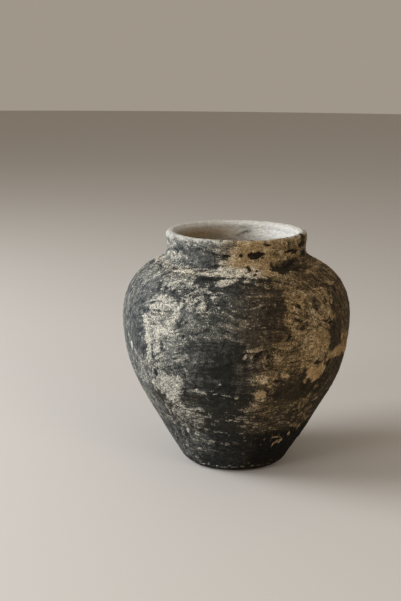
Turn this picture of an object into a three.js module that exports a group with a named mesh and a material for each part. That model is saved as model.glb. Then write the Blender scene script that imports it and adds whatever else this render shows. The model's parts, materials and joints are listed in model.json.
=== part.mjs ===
// Black clay pot: a hand-built round-bodied vessel with a short upright neck and a thick rounded lip.
// Units are millimetres. +Z is up and the origin is the centre of the flat bottom.
//
// The vessel is built the way a potter raises it: a saucer-shaped base, four wall courses, two shoulder
// courses, a neck collar and a rim coil, each seated on the bevelled edge of the one below. Every joint is a
// scarf: the lower course's top edge slopes down towards the hollow, and the upper course laps over it
// on the inside, so each piece centres itself on the one below and can't slide outwards.

import * as THREE from 'three';

// ---- driving dimensions ----------------------------------------------------------------------

const HEIGHT = 290;            // overall height, bottom to the top of the lip
const SEGMENTS = 56;           // facets round the axis (a multiple of 4 keeps the widths exact)
const SLIP_GAP = 0.32;         // room for the slip between two courses, measured across the joint
const LAP = 8;                 // how far a joint drops, along the wall, from outside to inside

// Outer profile above the foot edge: [height, radius].
const OUTER = [
  [7.2, 67.0], [15, 71.5], [25, 77.6], [35, 83.8], [45, 89.8], [55, 95.5], [65, 101.1], [75, 106.8],
  [85, 112.4], [95, 117.9], [105, 122.9], [115, 127.3], [125, 131.0], [135, 133.9], [145, 136.15],
  [155, 137.85], [165, 139.1], [175, 139.9], [185, 140.15], [195, 139.6], [205, 137.95],
  [215, 134.9], [225, 130.1], [235, 123.1], [245, 111.9], [250, 103.9], [255, 95.4], [257.5, 91.7],
  [260, 88.8], [262.5, 86.8], [265, 85.6], [268, 84.9], [272, 84.7], [276, 85.0], [280, 85.6],
  [284.6, 85.9],
];
const FOOT_FLAT_R = 53.4;      // radius of the flat that the pot stands on
const FOOT_EDGE_R = 16.5;      // radius of the rounding between that flat and the wall
const FLOOR_T = 12;            // thickness of the floor
const FLOOR_R = 54;            // radius at which the inside floor starts to curve up into the wall

// Wall thickness, measured square to the outer profile: [height, thickness].
const WALL = [
  [7.2, 12.5], [25, 11.5], [60, 10.0], [120, 9.2], [185, 8.8], [235, 9.2], [256, 10.0], [270, 10.0],
  [284.6, 10.0],
];

// Outer heights of the joints, bottom to top.
const JOINTS = [21, 61.5, 108, 157, 205, 235, 256.5, 276.5];

// The lip: a rounded coil, a little thicker than the neck under it.
const LIP_OUT_R = 85.9;        // outer radius of the lip
const LIP_ROUND = 5.4;         // radius of the lip's rounded top
const LIP_IN_R = LIP_OUT_R - 2 * LIP_ROUND;   // radius of the mouth

// ---- profile ---------------------------------------------------------------------------------

// Monotone cubic through the given points, so the curve never overshoots between them.
function monotone(points) {
  const n = points.length;
  const slope = [];
  for (let i = 0; i < n - 1; i++) {
    slope.push((points[i + 1][1] - points[i][1]) / (points[i + 1][0] - points[i][0]));
  }
  const tangent = points.map((_, i) => {
    if (i === 0) return slope[0];
    if (i === n - 1) return slope[n - 2];
    const a = slope[i - 1];
    const b = slope[i];
    return a * b <= 0 ? 0 : (2 * a * b) / (a + b);
  });
  return (x) => {
    let i = 0;
    while (i < n - 2 && x > points[i + 1][0]) i++;
    const h = points[i + 1][0] - points[i][0];
    const t = Math.min(1, Math.max(0, (x - points[i][0]) / h));
    const t2 = t * t;
    const t3 = t2 * t;
    return (2 * t3 - 3 * t2 + 1) * points[i][1] + (t3 - 2 * t2 + t) * h * tangent[i]
      + (3 * t2 - 2 * t3) * points[i + 1][1] + (t3 - t2) * h * tangent[i + 1];
  };
}

const radiusAt = monotone(OUTER);
const wallAt = monotone(WALL);

const outerPoint = (z) => new THREE.Vector2(radiusAt(z), z);

// The inside of the wall, square to the outer profile at the height z.
function innerPoint(z) {
  const e = 1.5;
  const along = new THREE.Vector2(radiusAt(z + e) - radiusAt(z - e), 2 * e).normalize();
  return new THREE.Vector2(radiusAt(z) - along.y * wallAt(z), z + along.x * wallAt(z));
}

// The height on the outer profile that lies a distance s further along the wall than z.
function step(z, s) {
  const n = 24;
  let at = z;
  for (let i = 0; i < n; i++) {
    const g = (radiusAt(at + 0.2) - radiusAt(at - 0.2)) / 0.4;
    at += s / n / Math.hypot(1, g);
  }
  return at;
}

// How far along the wall two joint faces stand apart to leave SLIP_GAP between them.
function gapAlong(z) {
  const t = wallAt(z);
  return SLIP_GAP * Math.hypot(LAP, t) / t;
}

// Heights strictly between two heights, spaced evenly along the wall.
function between(low, high, pieces) {
  const heights = [];
  let length = 0;
  const fine = 60;
  const marks = [[low, 0]];
  for (let i = 1; i <= fine; i++) {
    const a = low + (high - low) * (i - 1) / fine;
    const b = low + (high - low) * i / fine;
    length += Math.hypot(b - a, radiusAt(b) - radiusAt(a));
    marks.push([b, length]);
  }
  for (let k = 1; k < pieces; k++) {
    const want = length * k / pieces;
    const i = marks.findIndex((m) => m[1] >= want);
    const f = (want - marks[i - 1][1]) / (marks[i][1] - marks[i - 1][1]);
    heights.push(marks[i - 1][0] + f * (marks[i][0] - marks[i - 1][0]));
  }
  return heights;
}

// ---- pieces ----------------------------------------------------------------------------------

// Revolves a closed profile, listed anticlockwise with the radius to the right and the height up.
function turn(points, closed = true) {
  const profile = points.map((p) => p.clone());
  if (closed) profile.push(points[0].clone());
  const geometry = new THREE.LatheGeometry(profile, SEGMENTS);
  geometry.rotateX(Math.PI / 2);           // LatheGeometry turns about Y; the pot stands along Z
  return geometry;
}

// A course of wall between two joints.
function course(lowJoint, highJoint, outerSteps, innerSteps) {
  const gap = gapAlong(lowJoint);
  const outLow = step(lowJoint, gap);
  const inLow = step(outLow, -LAP);
  const outHigh = highJoint;
  const inHigh = step(outHigh, -LAP);
  return turn([
    outerPoint(outLow),
    ...between(outLow, outHigh, outerSteps).map(outerPoint),
    outerPoint(outHigh),
    innerPoint(inHigh),
    ...between(inLow, inHigh, innerSteps).reverse().map(innerPoint),
    innerPoint(inLow),
  ]);
}

// The base: a thick shallow saucer with a flat bottom and a rounded foot edge.
function baseSlab() {
  const outHigh = JOINTS[0];
  const inHigh = step(outHigh, -LAP);
  const edge = [];
  const startAngle = -Math.PI / 2;
  const endAngle = Math.atan2(OUTER[0][0] - FOOT_EDGE_R, OUTER[0][1] - FOOT_FLAT_R);
  for (let i = 0; i <= 3; i++) {
    const a = startAngle + (endAngle - startAngle) * i / 3;
    edge.push(new THREE.Vector2(
      FOOT_FLAT_R + FOOT_EDGE_R * Math.cos(a), Math.max(0, FOOT_EDGE_R + FOOT_EDGE_R * Math.sin(a)),
    ));
  }
  const inTop = innerPoint(inHigh);
  const profile = [
    new THREE.Vector2(0, 0),
    ...edge,
    outerPoint(14),
    outerPoint(outHigh),
    inTop,
    new THREE.Vector2(FLOOR_R + (inTop.x - FLOOR_R) * 0.55, FLOOR_T + (inTop.y - FLOOR_T) * 0.30),
    new THREE.Vector2(FLOOR_R, FLOOR_T),
    new THREE.Vector2(0, FLOOR_T),
  ];
  return turn(profile, false);
}

// The rim: a thick coil with a fully rounded lip.
function rimCoil() {
  const lowJoint = JOINTS[JOINTS.length - 1];
  const outLow = step(lowJoint, gapAlong(lowJoint));
  const inLow = step(outLow, -LAP);
  const centreR = LIP_OUT_R - LIP_ROUND;
  const centreZ = HEIGHT - LIP_ROUND;
  const profile = [outerPoint(outLow), outerPoint(280.8)];
  for (let i = 0; i <= 7; i++) {
    const a = Math.PI * i / 7;
    profile.push(new THREE.Vector2(centreR + LIP_ROUND * Math.cos(a), centreZ + LIP_ROUND * Math.sin(a)));
  }
  profile[profile.length - 1] = new THREE.Vector2(LIP_IN_R, centreZ);
  // the crown of the lip is put back at the full height, between its two highest facets
  profile.splice(6, 0, new THREE.Vector2(centreR, HEIGHT));
  profile.push(innerPoint(inLow));
  return turn(profile);
}

const PIECES = [
  ['base_slab', baseSlab(), 0x2a2825, 0.90],
  ['foot_course', course(JOINTS[0], JOINTS[1], 4, 3), 0x2e2c29, 0.88],
  ['lower_wall_course', course(JOINTS[1], JOINTS[2], 4, 3), 0x3a3630, 0.88],
  ['belly_course', course(JOINTS[2], JOINTS[3], 5, 4), 0x47423a, 0.86],
  ['upper_belly_course', course(JOINTS[3], JOINTS[4], 5, 4), 0x4c463d, 0.86],
  ['lower_shoulder_course', course(JOINTS[4], JOINTS[5], 4, 3), 0x4f493f, 0.88],
  ['upper_shoulder_course', course(JOINTS[5], JOINTS[6], 4, 3), 0x575043, 0.88],
  ['neck_collar', course(JOINTS[6], JOINTS[7], 5, 3), 0x5f564a, 0.90],
  ['rim_coil', rimCoil(), 0x8b857b, 0.86],
];

const group = new THREE.Group();
group.name = 'black_clay_pot';
for (const [name, geometry, colour, roughness] of PIECES) {
  const mesh = new THREE.Mesh(
    geometry,
    new THREE.MeshStandardMaterial({ color: colour, roughness, metalness: 0 }),
  );
  mesh.name = name;
  group.add(mesh);
}

export default group;
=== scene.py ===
"""Visual model of a hand-built black clay pot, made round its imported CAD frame.

Every CAD course is replaced by a fine closed mesh of the same course. All of them are cut from one continuous
surface, so the wall runs on smoothly over the luted joints. The surface carries the slow waves of hand building,
the wiping rings, a worn coat of mud and lime that stands proud of the clay, chips through that coat, grain and
pits. Angles are in degrees from the front (-Y), positive towards +X; lengths in the tables are in millimetres.
"""

import json
import math

import bpy
import numpy as np
from mathutils import Matrix, Vector


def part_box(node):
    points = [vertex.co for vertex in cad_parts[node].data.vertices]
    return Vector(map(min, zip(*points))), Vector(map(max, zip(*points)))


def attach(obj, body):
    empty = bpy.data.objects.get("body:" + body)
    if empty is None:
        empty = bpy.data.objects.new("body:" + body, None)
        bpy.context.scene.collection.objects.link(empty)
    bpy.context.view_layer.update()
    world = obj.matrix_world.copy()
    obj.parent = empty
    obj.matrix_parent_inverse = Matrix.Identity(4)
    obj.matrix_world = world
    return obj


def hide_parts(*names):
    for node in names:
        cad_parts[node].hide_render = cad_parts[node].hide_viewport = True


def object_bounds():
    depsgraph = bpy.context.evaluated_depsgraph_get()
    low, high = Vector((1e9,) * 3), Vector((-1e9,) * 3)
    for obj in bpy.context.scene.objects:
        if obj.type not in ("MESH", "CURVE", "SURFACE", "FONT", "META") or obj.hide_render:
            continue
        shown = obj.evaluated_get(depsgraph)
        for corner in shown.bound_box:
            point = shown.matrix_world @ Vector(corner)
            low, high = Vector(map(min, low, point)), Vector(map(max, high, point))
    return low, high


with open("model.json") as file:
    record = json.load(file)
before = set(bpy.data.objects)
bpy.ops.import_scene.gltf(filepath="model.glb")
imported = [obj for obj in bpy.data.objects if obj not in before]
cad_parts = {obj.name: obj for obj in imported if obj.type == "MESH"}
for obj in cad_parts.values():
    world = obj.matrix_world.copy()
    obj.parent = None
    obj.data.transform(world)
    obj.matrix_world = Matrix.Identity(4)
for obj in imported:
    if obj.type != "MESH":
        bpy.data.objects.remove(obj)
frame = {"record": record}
cad_box = [list(map(float, c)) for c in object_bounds()]

MM = 0.001
rng = np.random.default_rng(20)
F = np.float32

# ------------------------------------------------------------------------------------ profile

HEIGHT = cad_box[1][2] / MM
OUTER = np.array([
    (7.2, 67.0), (15, 71.5), (25, 77.6), (35, 83.8), (45, 89.8), (55, 95.5), (65, 101.1), (75, 106.8),
    (85, 112.4), (95, 117.9), (105, 122.9), (115, 127.3), (125, 131.0), (135, 133.9), (145, 136.15),
    (155, 137.85), (165, 139.1), (175, 139.9), (185, 140.15), (195, 139.6), (205, 137.95), (215, 134.9),
    (225, 130.1), (235, 123.1), (245, 111.9), (250, 103.9), (255, 95.4), (257.5, 91.7), (260, 88.8),
    (262.5, 86.8), (265, 85.6), (268, 84.9), (272, 84.7), (276, 85.0), (280, 85.6), (284.6, 85.9),
])
WALL = np.array([
    (7.2, 12.5), (25, 11.5), (60, 10.0), (120, 9.2), (185, 8.8), (235, 9.2), (256, 10.0), (270, 10.0), (284.6, 10.0),
])
FOOT_FLAT_R, FOOT_EDGE_R = 53.4, 16.5
FLOOR_T = 12.0
LIP_OUT_R, LIP_ROUND = 85.9, 5.4
LAP = 8.0


def monotone(points):
    """A monotone cubic through the points, as a function of arrays."""
    x, y = points[:, 0], points[:, 1]
    slope = np.diff(y) / np.diff(x)
    a, b = slope[:-1], slope[1:]
    with np.errstate(divide="ignore", invalid="ignore"):
        inner = np.where(a * b > 0, 2 * a * b / (a + b), 0.0)
    t = np.concatenate([[slope[0]], inner, [slope[-1]]])

    def at(v):
        v = np.clip(np.asarray(v, float), x[0], x[-1])
        i = np.clip(np.searchsorted(x, v, side="right") - 1, 0, len(x) - 2)
        h = x[i + 1] - x[i]
        u = (v - x[i]) / h
        u2, u3 = u * u, u * u * u
        return (2 * u3 - 3 * u2 + 1) * y[i] + (u3 - 2 * u2 + u) * h * t[i] + (3 * u2 - 2 * u3) * y[i + 1] + (u3 - u2) * h * t[i + 1]

    return at


radius_at, wall_at = monotone(OUTER), monotone(WALL)


def inner_point(z):
    e = 1.5
    dr, dz = radius_at(z + e) - radius_at(z - e), 2 * e
    n = np.hypot(dr, dz)
    return radius_at(z) - dz / n * wall_at(z), z + dr / n * wall_at(z)


def slide(z, s):
    """The height a distance s along the outer wall from z."""
    for _ in range(24):
        g = (radius_at(z + 0.2) - radius_at(z - 0.2)) / 0.4
        z = z + s / 24 / math.hypot(1, float(g))
    return float(z)


# The whole section as one line: under the foot, up the outside, over the lip, down the inside, to the floor's middle.
ends = math.atan2(7.2 - FOOT_EDGE_R, 67.0 - FOOT_FLAT_R)
line = [np.stack([np.linspace(0, FOOT_FLAT_R, 200)[:-1], np.zeros(199)], 1)]
arc = np.linspace(-math.pi / 2, ends, 80)[:-1]
line.append(np.stack([FOOT_FLAT_R + FOOT_EDGE_R * np.cos(arc), FOOT_EDGE_R + FOOT_EDGE_R * np.sin(arc)], 1))
zz = np.linspace(7.2, HEIGHT - LIP_ROUND, 3000)[:-1]
line.append(np.stack([radius_at(zz), zz], 1))
arc = np.linspace(0, math.pi, 120)
line.append(np.stack([LIP_OUT_R - LIP_ROUND + LIP_ROUND * np.cos(arc), HEIGHT - LIP_ROUND + LIP_ROUND * np.sin(arc)], 1))
zz = np.linspace(279, 15.5, 3000)
ir, iz = inner_point(zz)
line.append(np.stack([ir, iz], 1))
a0, a3 = line[-1][-1], np.array([47.0, FLOOR_T])
d0 = (line[-1][-1] - line[-1][-8]) / np.linalg.norm(line[-1][-1] - line[-1][-8])
a1 = a0 + d0 * 7.0
t = np.linspace(0, 1, 60)[1:, None]
line.append((1 - t) ** 3 * a0 + 3 * (1 - t) ** 2 * t * a1 + 3 * (1 - t) * t ** 2 * (a3 + [6.0, 0]) + t ** 3 * a3)
line.append(np.stack([np.linspace(47.0, 0, 100)[1:], np.full(99, FLOOR_T)], 1))
line = np.concatenate(line)
run = np.concatenate([[0], np.cumsum(np.hypot(*np.diff(line, axis=0).T))])
S_FOOT = FOOT_FLAT_R
S_CROWN = float(run[np.argmax(line[:, 1])])
out_part = run <= S_CROWN
in_part = run >= S_CROWN


def s_out(z):
    """How far along the section the outside reaches the height z."""
    return np.interp(z, line[out_part, 1], run[out_part])


def s_in(z):
    """The same on the inside."""
    return np.interp(-np.asarray(z, float), -line[in_part, 1], run[in_part])


def s_near(r, z):
    d = np.hypot(line[in_part, 0] - r, line[in_part, 1] - z)
    return float(run[in_part][np.argmin(d)])


# ------------------------------------------------------------------------------------ courses

COURSES = ["base_slab", "foot_course", "lower_wall_course", "belly_course", "upper_belly_course",
           "lower_shoulder_course", "upper_shoulder_course", "neck_collar", "rim_coil"]
joint_z = [float(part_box(n)[1].z) / MM for n in COURSES[:-1]]
joint_out = [float(s_out(z)) for z in joint_z]
joint_in = [s_near(*map(float, inner_point(slide(z, -LAP)))) for z in joint_z]
S_END = float(run[-1])

FINE = 720      # columns on the outside and the lip
PITCH = 1.12    # spacing of the rows there, mm


def rows_between(a, b, pitch):
    return np.linspace(a, b, max(2, round(abs(b - a) / pitch) + 1))


rows, level = [0.0], [1]      # position along the section, and 0 for FINE columns or 1 for half as many


def add(values, lvl):
    for v in values:
        if v > rows[-1] + 1e-6:
            rows.append(float(v))
            level.append(lvl)


add(rows_between(0, S_FOOT - 3, 4.2), 1)
add(rows_between(S_FOOT - 3, joint_out[0], PITCH), 0)
for a, b in zip(joint_out[:-1], joint_out[1:], strict=True):
    add(rows_between(a, b, PITCH), 0)
neck_in = joint_in[-1]
add(rows_between(joint_out[-1], S_CROWN, 0.85), 0)
add(rows_between(S_CROWN, neck_in, 1.0), 0)
edges = [neck_in] + joint_in[-2::-1]
for k, (a, b) in enumerate(zip(edges[:-1], edges[1:], strict=True)):
    add(rows_between(a, b, 1.1 if k == 0 else 2.3), 0 if k == 0 else 1)
add(rows_between(joint_in[0], S_END - 2.5, 3.4), 1)
rows.append(S_END)
level.append(1)
S = np.array(rows)
LEVEL = np.array(level)
R = np.interp(S, run, line[:, 0])
Z = np.interp(S, run, line[:, 1])
e = 0.4
TR = (np.interp(S + e, run, line[:, 0]) - np.interp(S - e, run, line[:, 0]))
TZ = (np.interp(S + e, run, line[:, 1]) - np.interp(S - e, run, line[:, 1]))
tn = np.hypot(TR, TZ)
NR, NZ = TZ / tn, -TR / tn          # the surface's outward direction in the section
NS, NT = len(S), FINE
TH = (np.arange(NT) * 360.0 / NT).astype(F)
TH180 = (TH + 180) % 360 - 180      # the same angles, -180 to 180
OUT = (S >= S_FOOT - 6) & (S <= S_CROWN + 1.0)       # rows on the outside
cosT, sinT = np.cos(np.radians(TH)), np.sin(np.radians(TH))
PX = (R[:, None] * sinT).astype(F)
PY = (-R[:, None] * cosT).astype(F)
PZ = np.broadcast_to(Z[:, None], PX.shape).astype(F)

# ------------------------------------------------------------------------------------ noise

PERM = rng.permutation(256).astype(np.int32)
PERM = np.concatenate([PERM, PERM])
GRAD = rng.normal(size=(256, 3)).astype(F)
GRAD /= np.linalg.norm(GRAD, axis=1)[:, None]


def perlin(x, y, z):
    xi, yi, zi = (np.floor(v).astype(np.int32) for v in (x, y, z))
    xf, yf, zf = x - xi, y - yi, z - zi
    u, v, w = (f * f * f * (f * (f * 6 - 15) + 10) for f in (xf, yf, zf))
    xi, yi, zi = xi & 255, yi & 255, zi & 255
    out = 0
    for dx in (0, 1):
        wx = u if dx else 1 - u
        px = PERM[xi + dx]
        for dy in (0, 1):
            wy = v if dy else 1 - v
            py = PERM[(px + yi + dy) & 511]
            for dz in (0, 1):
                g = GRAD[PERM[(py + zi + dz) & 511]]
                out = out + wx * wy * (w if dz else 1 - w) * (g[..., 0] * (xf - dx) + g[..., 1] * (yf - dy) + g[..., 2] * (zf - dz))
    return out


def noise(scale, octaves=4, gain=0.55, seed=0, squash=1.0, mask=None):
    """Fractal noise over the surface with features of about scale mm, with unit spread. squash over 1 flattens the features vertically."""
    x, y, z = PX, PY, PZ
    o = rng_offset(seed)
    total, amp, f = 0, 1.0, 1.0 / scale
    for k in range(octaves):
        total = total + amp * perlin((x * f + o[0] + 11.3 * k).astype(F), (y * f + o[1] - 7.7 * k).astype(F), (z * f * squash + o[2] + 3.1 * k).astype(F))
        amp *= gain
        f *= 2.03
    return (total / total.std()).astype(F)


def rng_offset(seed):
    return np.random.default_rng(1000 + seed).uniform(0, 200, 3)


def smooth(a, b, x):
    t = np.clip((x - a) / (b - a), 0, 1)
    return t * t * (3 - 2 * t)


# ------------------------------------------------------------------------------------ brush strokes

def flow_noise(angle, seed, length=11, aspect=1.0):
    """White noise drawn out along the wall at the given angle (degrees from level), as a brush or rag leaves it."""
    g = np.random.default_rng(seed).normal(size=(NS, NT)).astype(F)
    ds = np.gradient(S).astype(F)[:, None]
    dt = (2 * np.pi * np.maximum(R, 20) / NT).astype(F)[:, None]
    a = np.radians(angle).astype(F)
    step_j, step_i = np.cos(a) / dt * 1.1, np.sin(a) / ds * 1.1
    ii, jj = np.meshgrid(np.arange(NS, dtype=F), np.arange(NT, dtype=F), indexing="ij")

    def sample(img, i, j):
        i = np.clip(i, 0, NS - 1.001)
        i0, j0 = np.floor(i).astype(np.int32), np.floor(j).astype(np.int32)
        fi, fj = i - i0, j - j0
        j1 = (j0 + 1) % NT
        j0 = j0 % NT
        return ((1 - fi) * ((1 - fj) * img[i0, j0] + fj * img[i0, j1]) + fi * ((1 - fj) * img[i0 + 1, j0] + fj * img[i0 + 1, j1]))

    total, weight = g.copy(), 1.0
    for sign in (1, -1):
        i, j = ii.copy(), jj.copy()
        for k in range(length):
            i0, j0 = np.clip(np.round(i), 0, NS - 1).astype(np.int32), np.round(j).astype(np.int32) % NT
            i = i + sign * step_i[i0, j0]
            j = j + sign * step_j[i0, j0]
            w = 1 - k / (length + 1)
            total += w * sample(g, i, j)
            weight += w
    total = total / weight
    return (total / total.std()).astype(F)


# ------------------------------------------------------------------------------------ painting tools

RAD = math.pi / 180


def ellipse(th, s0, hu, hv, rot=0.0, warp=1.0):
    """Distance from the middle of a patch in units of its half-sizes, with its edge made uneven. hu and hv are in mm along and up the wall."""
    r0 = float(np.interp(s0, run, line[:, 0]))
    du = ((TH - th + 180) % 360 - 180) * RAD * r0
    dv = S - s0
    reach = max(hu, hv) * 2.2 + 12
    ri, ci = np.where(np.abs(dv) < reach)[0], np.where(np.abs(du) < reach)[0]
    if not len(ri) or not len(ci):
        return None
    # the columns may wrap round
    U = du[ci][None, :] + warp * WU[np.ix_(ri, ci)]
    V = dv[ri][:, None] + warp * WV[np.ix_(ri, ci)]
    c, s = math.cos(rot * RAD), math.sin(rot * RAD)
    a, b = (U * c + V * s) / hu, (-U * s + V * c) / hv
    return np.ix_(ri, ci), np.sqrt(a * a + b * b)


def paint(field, patches, where=s_out, warp=1.0):
    """Adds soft uneven patches: (angle, height, half-width, half-height, tilt, amount, softness)."""
    for th, z, hu, hv, rot, amount, soft in patches:
        hit = ellipse(th, float(where(z)), hu, hv, rot, warp * min(1.0, 0.25 + min(hu, hv) / 14))
        if hit is not None:
            at, d = hit
            field[at] += amount * smooth(1 + soft, 1 - soft, d).astype(F)
    return field


def stroke(field, points, half, amount, soft=0.5, where=s_out, warp=0.5):
    """Brings the field up to amount in a band along a line of (angle, height) points, half mm to each side."""
    p = [(th, float(where(z))) for th, z in points]
    for (t0, s0), (t1, s1) in zip(p[:-1], p[1:], strict=True):
        r0 = float(np.interp((s0 + s1) / 2, run, line[:, 0]))
        du, dv = (t1 - t0) * RAD * r0, s1 - s0
        long = max(1e-6, math.hypot(du, dv))
        n = max(1, int(long / (half * 0.9)))
        tilt = math.degrees(math.atan2(dv, du))
        for k in range(n):
            f = (k + 0.5) / n
            hit = ellipse(t0 + (t1 - t0) * f, s0 + (s1 - s0) * f, long / n * 0.75 + half * 0.6, half, tilt, warp)
            if hit is not None:
                at, d = hit
                old, w = field[at], smooth(1 + soft, 1 - soft, d).astype(F)
                field[at] = np.where(amount > old, old + (amount - old) * w, old)
    return field


# Slow sideways drift that makes the edge of every painted patch uneven, mm.
WU = (noise(17, 3, seed=1) * 2.6 + noise(5.0, 2, seed=2) * 0.9).astype(F)
WV = (noise(17, 3, seed=3) * 2.2 + noise(5.0, 2, seed=4) * 0.8).astype(F)

outside = OUT[:, None]
front = np.abs(TH180)[None, :]
height = np.broadcast_to(Z[:, None], PX.shape)

# The way the potter's rag went: level over the neck and the middle, swinging upright towards the sides.
turnup = smooth(26, 58, front) * smooth(262, 244, height)
side = np.where(TH180[None, :] < 0, 1.0, -1.0)
steep = 62 + 56 * smooth(190, 115, height)      # past upright lower down, so the strokes lean the other way
angle = (turnup * steep * side + 16 * noise(60, 2, seed=5)).astype(F)
angle = np.where((front > 95), 26 * noise(70, 2, seed=6) + 8, angle).astype(F)
streak = flow_noise(angle, 31, 12)
streak_long = flow_noise(angle * 0.6, 32, 24)
grain = noise(2.6, 2, gain=0.7, seed=7)
mottle = noise(6.5, 4, gain=0.62, seed=8)
mottle2 = noise(11, 4, gain=0.6, seed=9, squash=1.5)
cloud = noise(34, 3, gain=0.5, seed=10)

# ------------------------------------------------------------------------------------ paint: the mud and lime coat

# coat: how far the thick coat is above (over 0) or below (under 0) just showing. At 0 it covers about half the clay.
coat = np.full((NS, NT), -1.35, F)
# haze: how much of a thin rubbed film of the same coat greys the clay, 0 to 1.
haze = np.full((NS, NT), 0.03, F)


def zone(th0, z0, th1, z1, level, film, edge=4.0, lean=0.0, warp=1.0):
    """Sets the coat and the film over a stretch of wall between two angles and two heights, edge mm soft. lean slants its sides, degrees per mm of height."""
    sa, sb = float(s_out(z0)), float(s_out(z1))
    rr = np.where((S > sa - 40) & (S < sb + 40))[0]
    mid, half = (th0 + th1) / 2, (th1 - th0) / 2
    off = (TH[None, :] - mid - lean * (height[rr] - (z0 + z1) / 2) + 180) % 360 - 180
    u = (half - np.abs(off)) * RAD * np.maximum(R[rr], 20)[:, None] + warp * WU[rr]
    v = (sb - sa) / 2 - np.abs(S[rr][:, None] - (sa + sb) / 2 + warp * WV[rr])
    w = (smooth(-edge, edge, u) * smooth(-edge, edge, v)).astype(F)
    coat[rr] += (level - coat[rr]) * w
    haze[rr] += (film - haze[rr]) * w


# -- left: blue-grey haze at the far side, then the worn cream areas
zone(-92, 62, -50, 160, -0.85, 0.55, 10)
zone(-92, 150, -62, 248, -0.72, 0.52, 8)
zone(-66, 150, -48, 240, -0.95, 0.40, 5)
zone(-62, 152, -49.6, 199, -1.3, 0.26, 2.0, warp=0.45)
zone(-49.5, 152, -38, 196, 0.25, 0.62, 2.4, warp=0.5)
zone(-39, 148, -20, 192, -0.04, 1.0, 6, warp=1.8)
zone(-26, 150, -14, 186, -0.62, 0.50, 9, warp=2.4)
zone(-50, 184, -27, 229, 0.56, 0.88, 5, lean=0.10)
zone(-27, 186, -18, 224, -0.30, 0.55, 5)
zone(-21, 184, 8, 212, -0.86, 0.30, 7)
zone(-12, 210, 24, 236, -0.98, 0.22, 7)
zone(-60, 116, -48, 152, -0.10, 0.60, 6)
zone(-52, 134, -36, 152, -0.05, 0.50, 5)
zone(-38, 134, -24, 152, -0.40, 0.42, 5)
zone(-49, 108, -26, 137, 0.62, 0.60, 4, lean=0.18)
zone(-44, 101, -32, 112, 0.62, 0.50, 3, lean=-0.2)
zone(-29, 108, -14, 152, -0.78, 0.30, 9, warp=2.4)
zone(-20, 120, 5, 178, -1.15, 0.18, 10, lean=-0.10, warp=3.2)
zone(-14, 118, 3, 170, -1.80, 0.01, 13, lean=0.10, warp=3.4)
zone(-46, 63, -18, 100, -0.72, 0.30, 6)
zone(-36, 90, -19, 101, -0.30, 0.25, 4, lean=-0.5)
zone(-19, 66, 5, 110, -1.7, 0.03, 8, warp=2.2)
# -- the dark foot
zone(-60, 10, 70, 61, -1.58, 0.04, 2.0, warp=0.4)
zone(-75, 10, -38, 60, -0.95, 0.30, 5)
zone(-40, 24, -18, 60, -1.08, 0.26, 6)
# darkest bare clay on the lower right, without film: partly smoke-blackened clay, partly painted shade on the side away
# from the window light
zone(16, 10, 72, 58, -2.1, 0.0, 4, warp=0.6)
# -- the middle right
zone(5, 63, 36, 108, -0.84, 0.16, 6)
zone(8, 100, 22, 122, -0.55, 0.22, 5)
zone(2, 120, 12, 160, -1.2, 0.16, 5)
zone(9, 124, 24, 160, -0.52, 0.46, 6)
zone(20, 104, 37, 136, -1.25, 0.10, 5)
zone(22, 134, 37, 156, -0.62, 0.26, 5)
zone(5, 158, 20, 184, -0.80, 0.30, 5)
zone(18, 152, 34, 184, -0.05, 0.68, 6)
zone(8, 184, 24, 206, -1.0, 0.18, 6)
zone(16, 212, 25, 226, -1.3, 0.06, 5)
# -- the ochre side
zone(24.5, 183, 58, 236, 0.30, 0.78, 5)
zone(33, 150, 53, 188, 0.98, 0.95, 6)
zone(29, 193, 37, 210, -0.35, 0.40, 4)
zone(36, 136, 50.5, 160, 0.72, 0.7, 4)
zone(37.5, 127.5, 48.5, 146, 1.6, 0.6, 3.0, lean=0.12)
zone(40, 198, 56, 218, 0.62, 0.5, 4)
zone(28, 224, 39, 236, 0.50, 0.5, 4)
zone(52, 100, 92, 149, -1.12, 0.20, 6)
zone(38, 90, 47, 111, -0.12, 0.25, 4)
zone(40, 62, 70, 92, -1.1, 0.12, 6)
zone(47, 92, 56, 128, -1.05, 0.10, 5)
zone(57, 164, 66, 232, -0.95, 0.20, 3.5)
zone(51.5, 160, 63, 196, -1.15, 0.14, 4)
zone(64, 164, 92, 234, -0.55, 0.36, 6)
zone(53, 146, 92, 161, 1.35, 0.8, 3.0, lean=-0.25)
zone(64, 158, 92, 178, 0.30, 0.5, 5)
# -- shoulder under the ridge
zone(-78, 236, -52, 262, -0.32, 0.70, 5)
zone(-52, 239, -24, 250, -0.18, 0.46, 3)
zone(-40, 224, -9, 241, -0.62, 0.18, 4)
zone(-26, 239, -10, 248, -1.1, 0.06, 2.5)
zone(-9, 236, 10, 243, -1.3, 0.10, 3)
zone(0, 243, 20, 250, -0.85, 0.10, 2.5)
zone(20, 238, 45, 252, -0.05, 0.22, 3.5)
zone(44, 234, 92, 262, -0.50, 0.26, 4)
zone(66, 236, 92, 258, -0.25, 0.34, 6)
# -- the ridge where the neck was luted on
zone(-92, 251, -44, 259, 0.10, 0.5, 2.2)
zone(-46, 250.8, 4, 254.6, 0.66, 0.5, 1.2, warp=0.45)
zone(-46, 254.8, -10, 258.5, -0.15, 0.4, 1.8, warp=0.6)
zone(-2, 251.0, 30, 256, 0.85, 0.5, 1.8, warp=0.6)
# -- neck
zone(-92, 261, -54, 288, 0.25, 0.85, 4)
zone(-56, 260, -12, 280, -0.92, 0.32, 3)
zone(-60, 261, -44, 269, 0.40, 0.5, 3)
zone(-60, 278, 2, 291, -0.10, 1.0, 2.6)
zone(-7, 254.5, 33, 291, 1.10, 0.5, 3.4, lean=0.40, warp=1.4)
zone(30, 262, 66, 291, 0.50, 0.5, 3.0)
zone(62, 262, 92, 286, 0.30, 0.4, 5)

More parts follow.
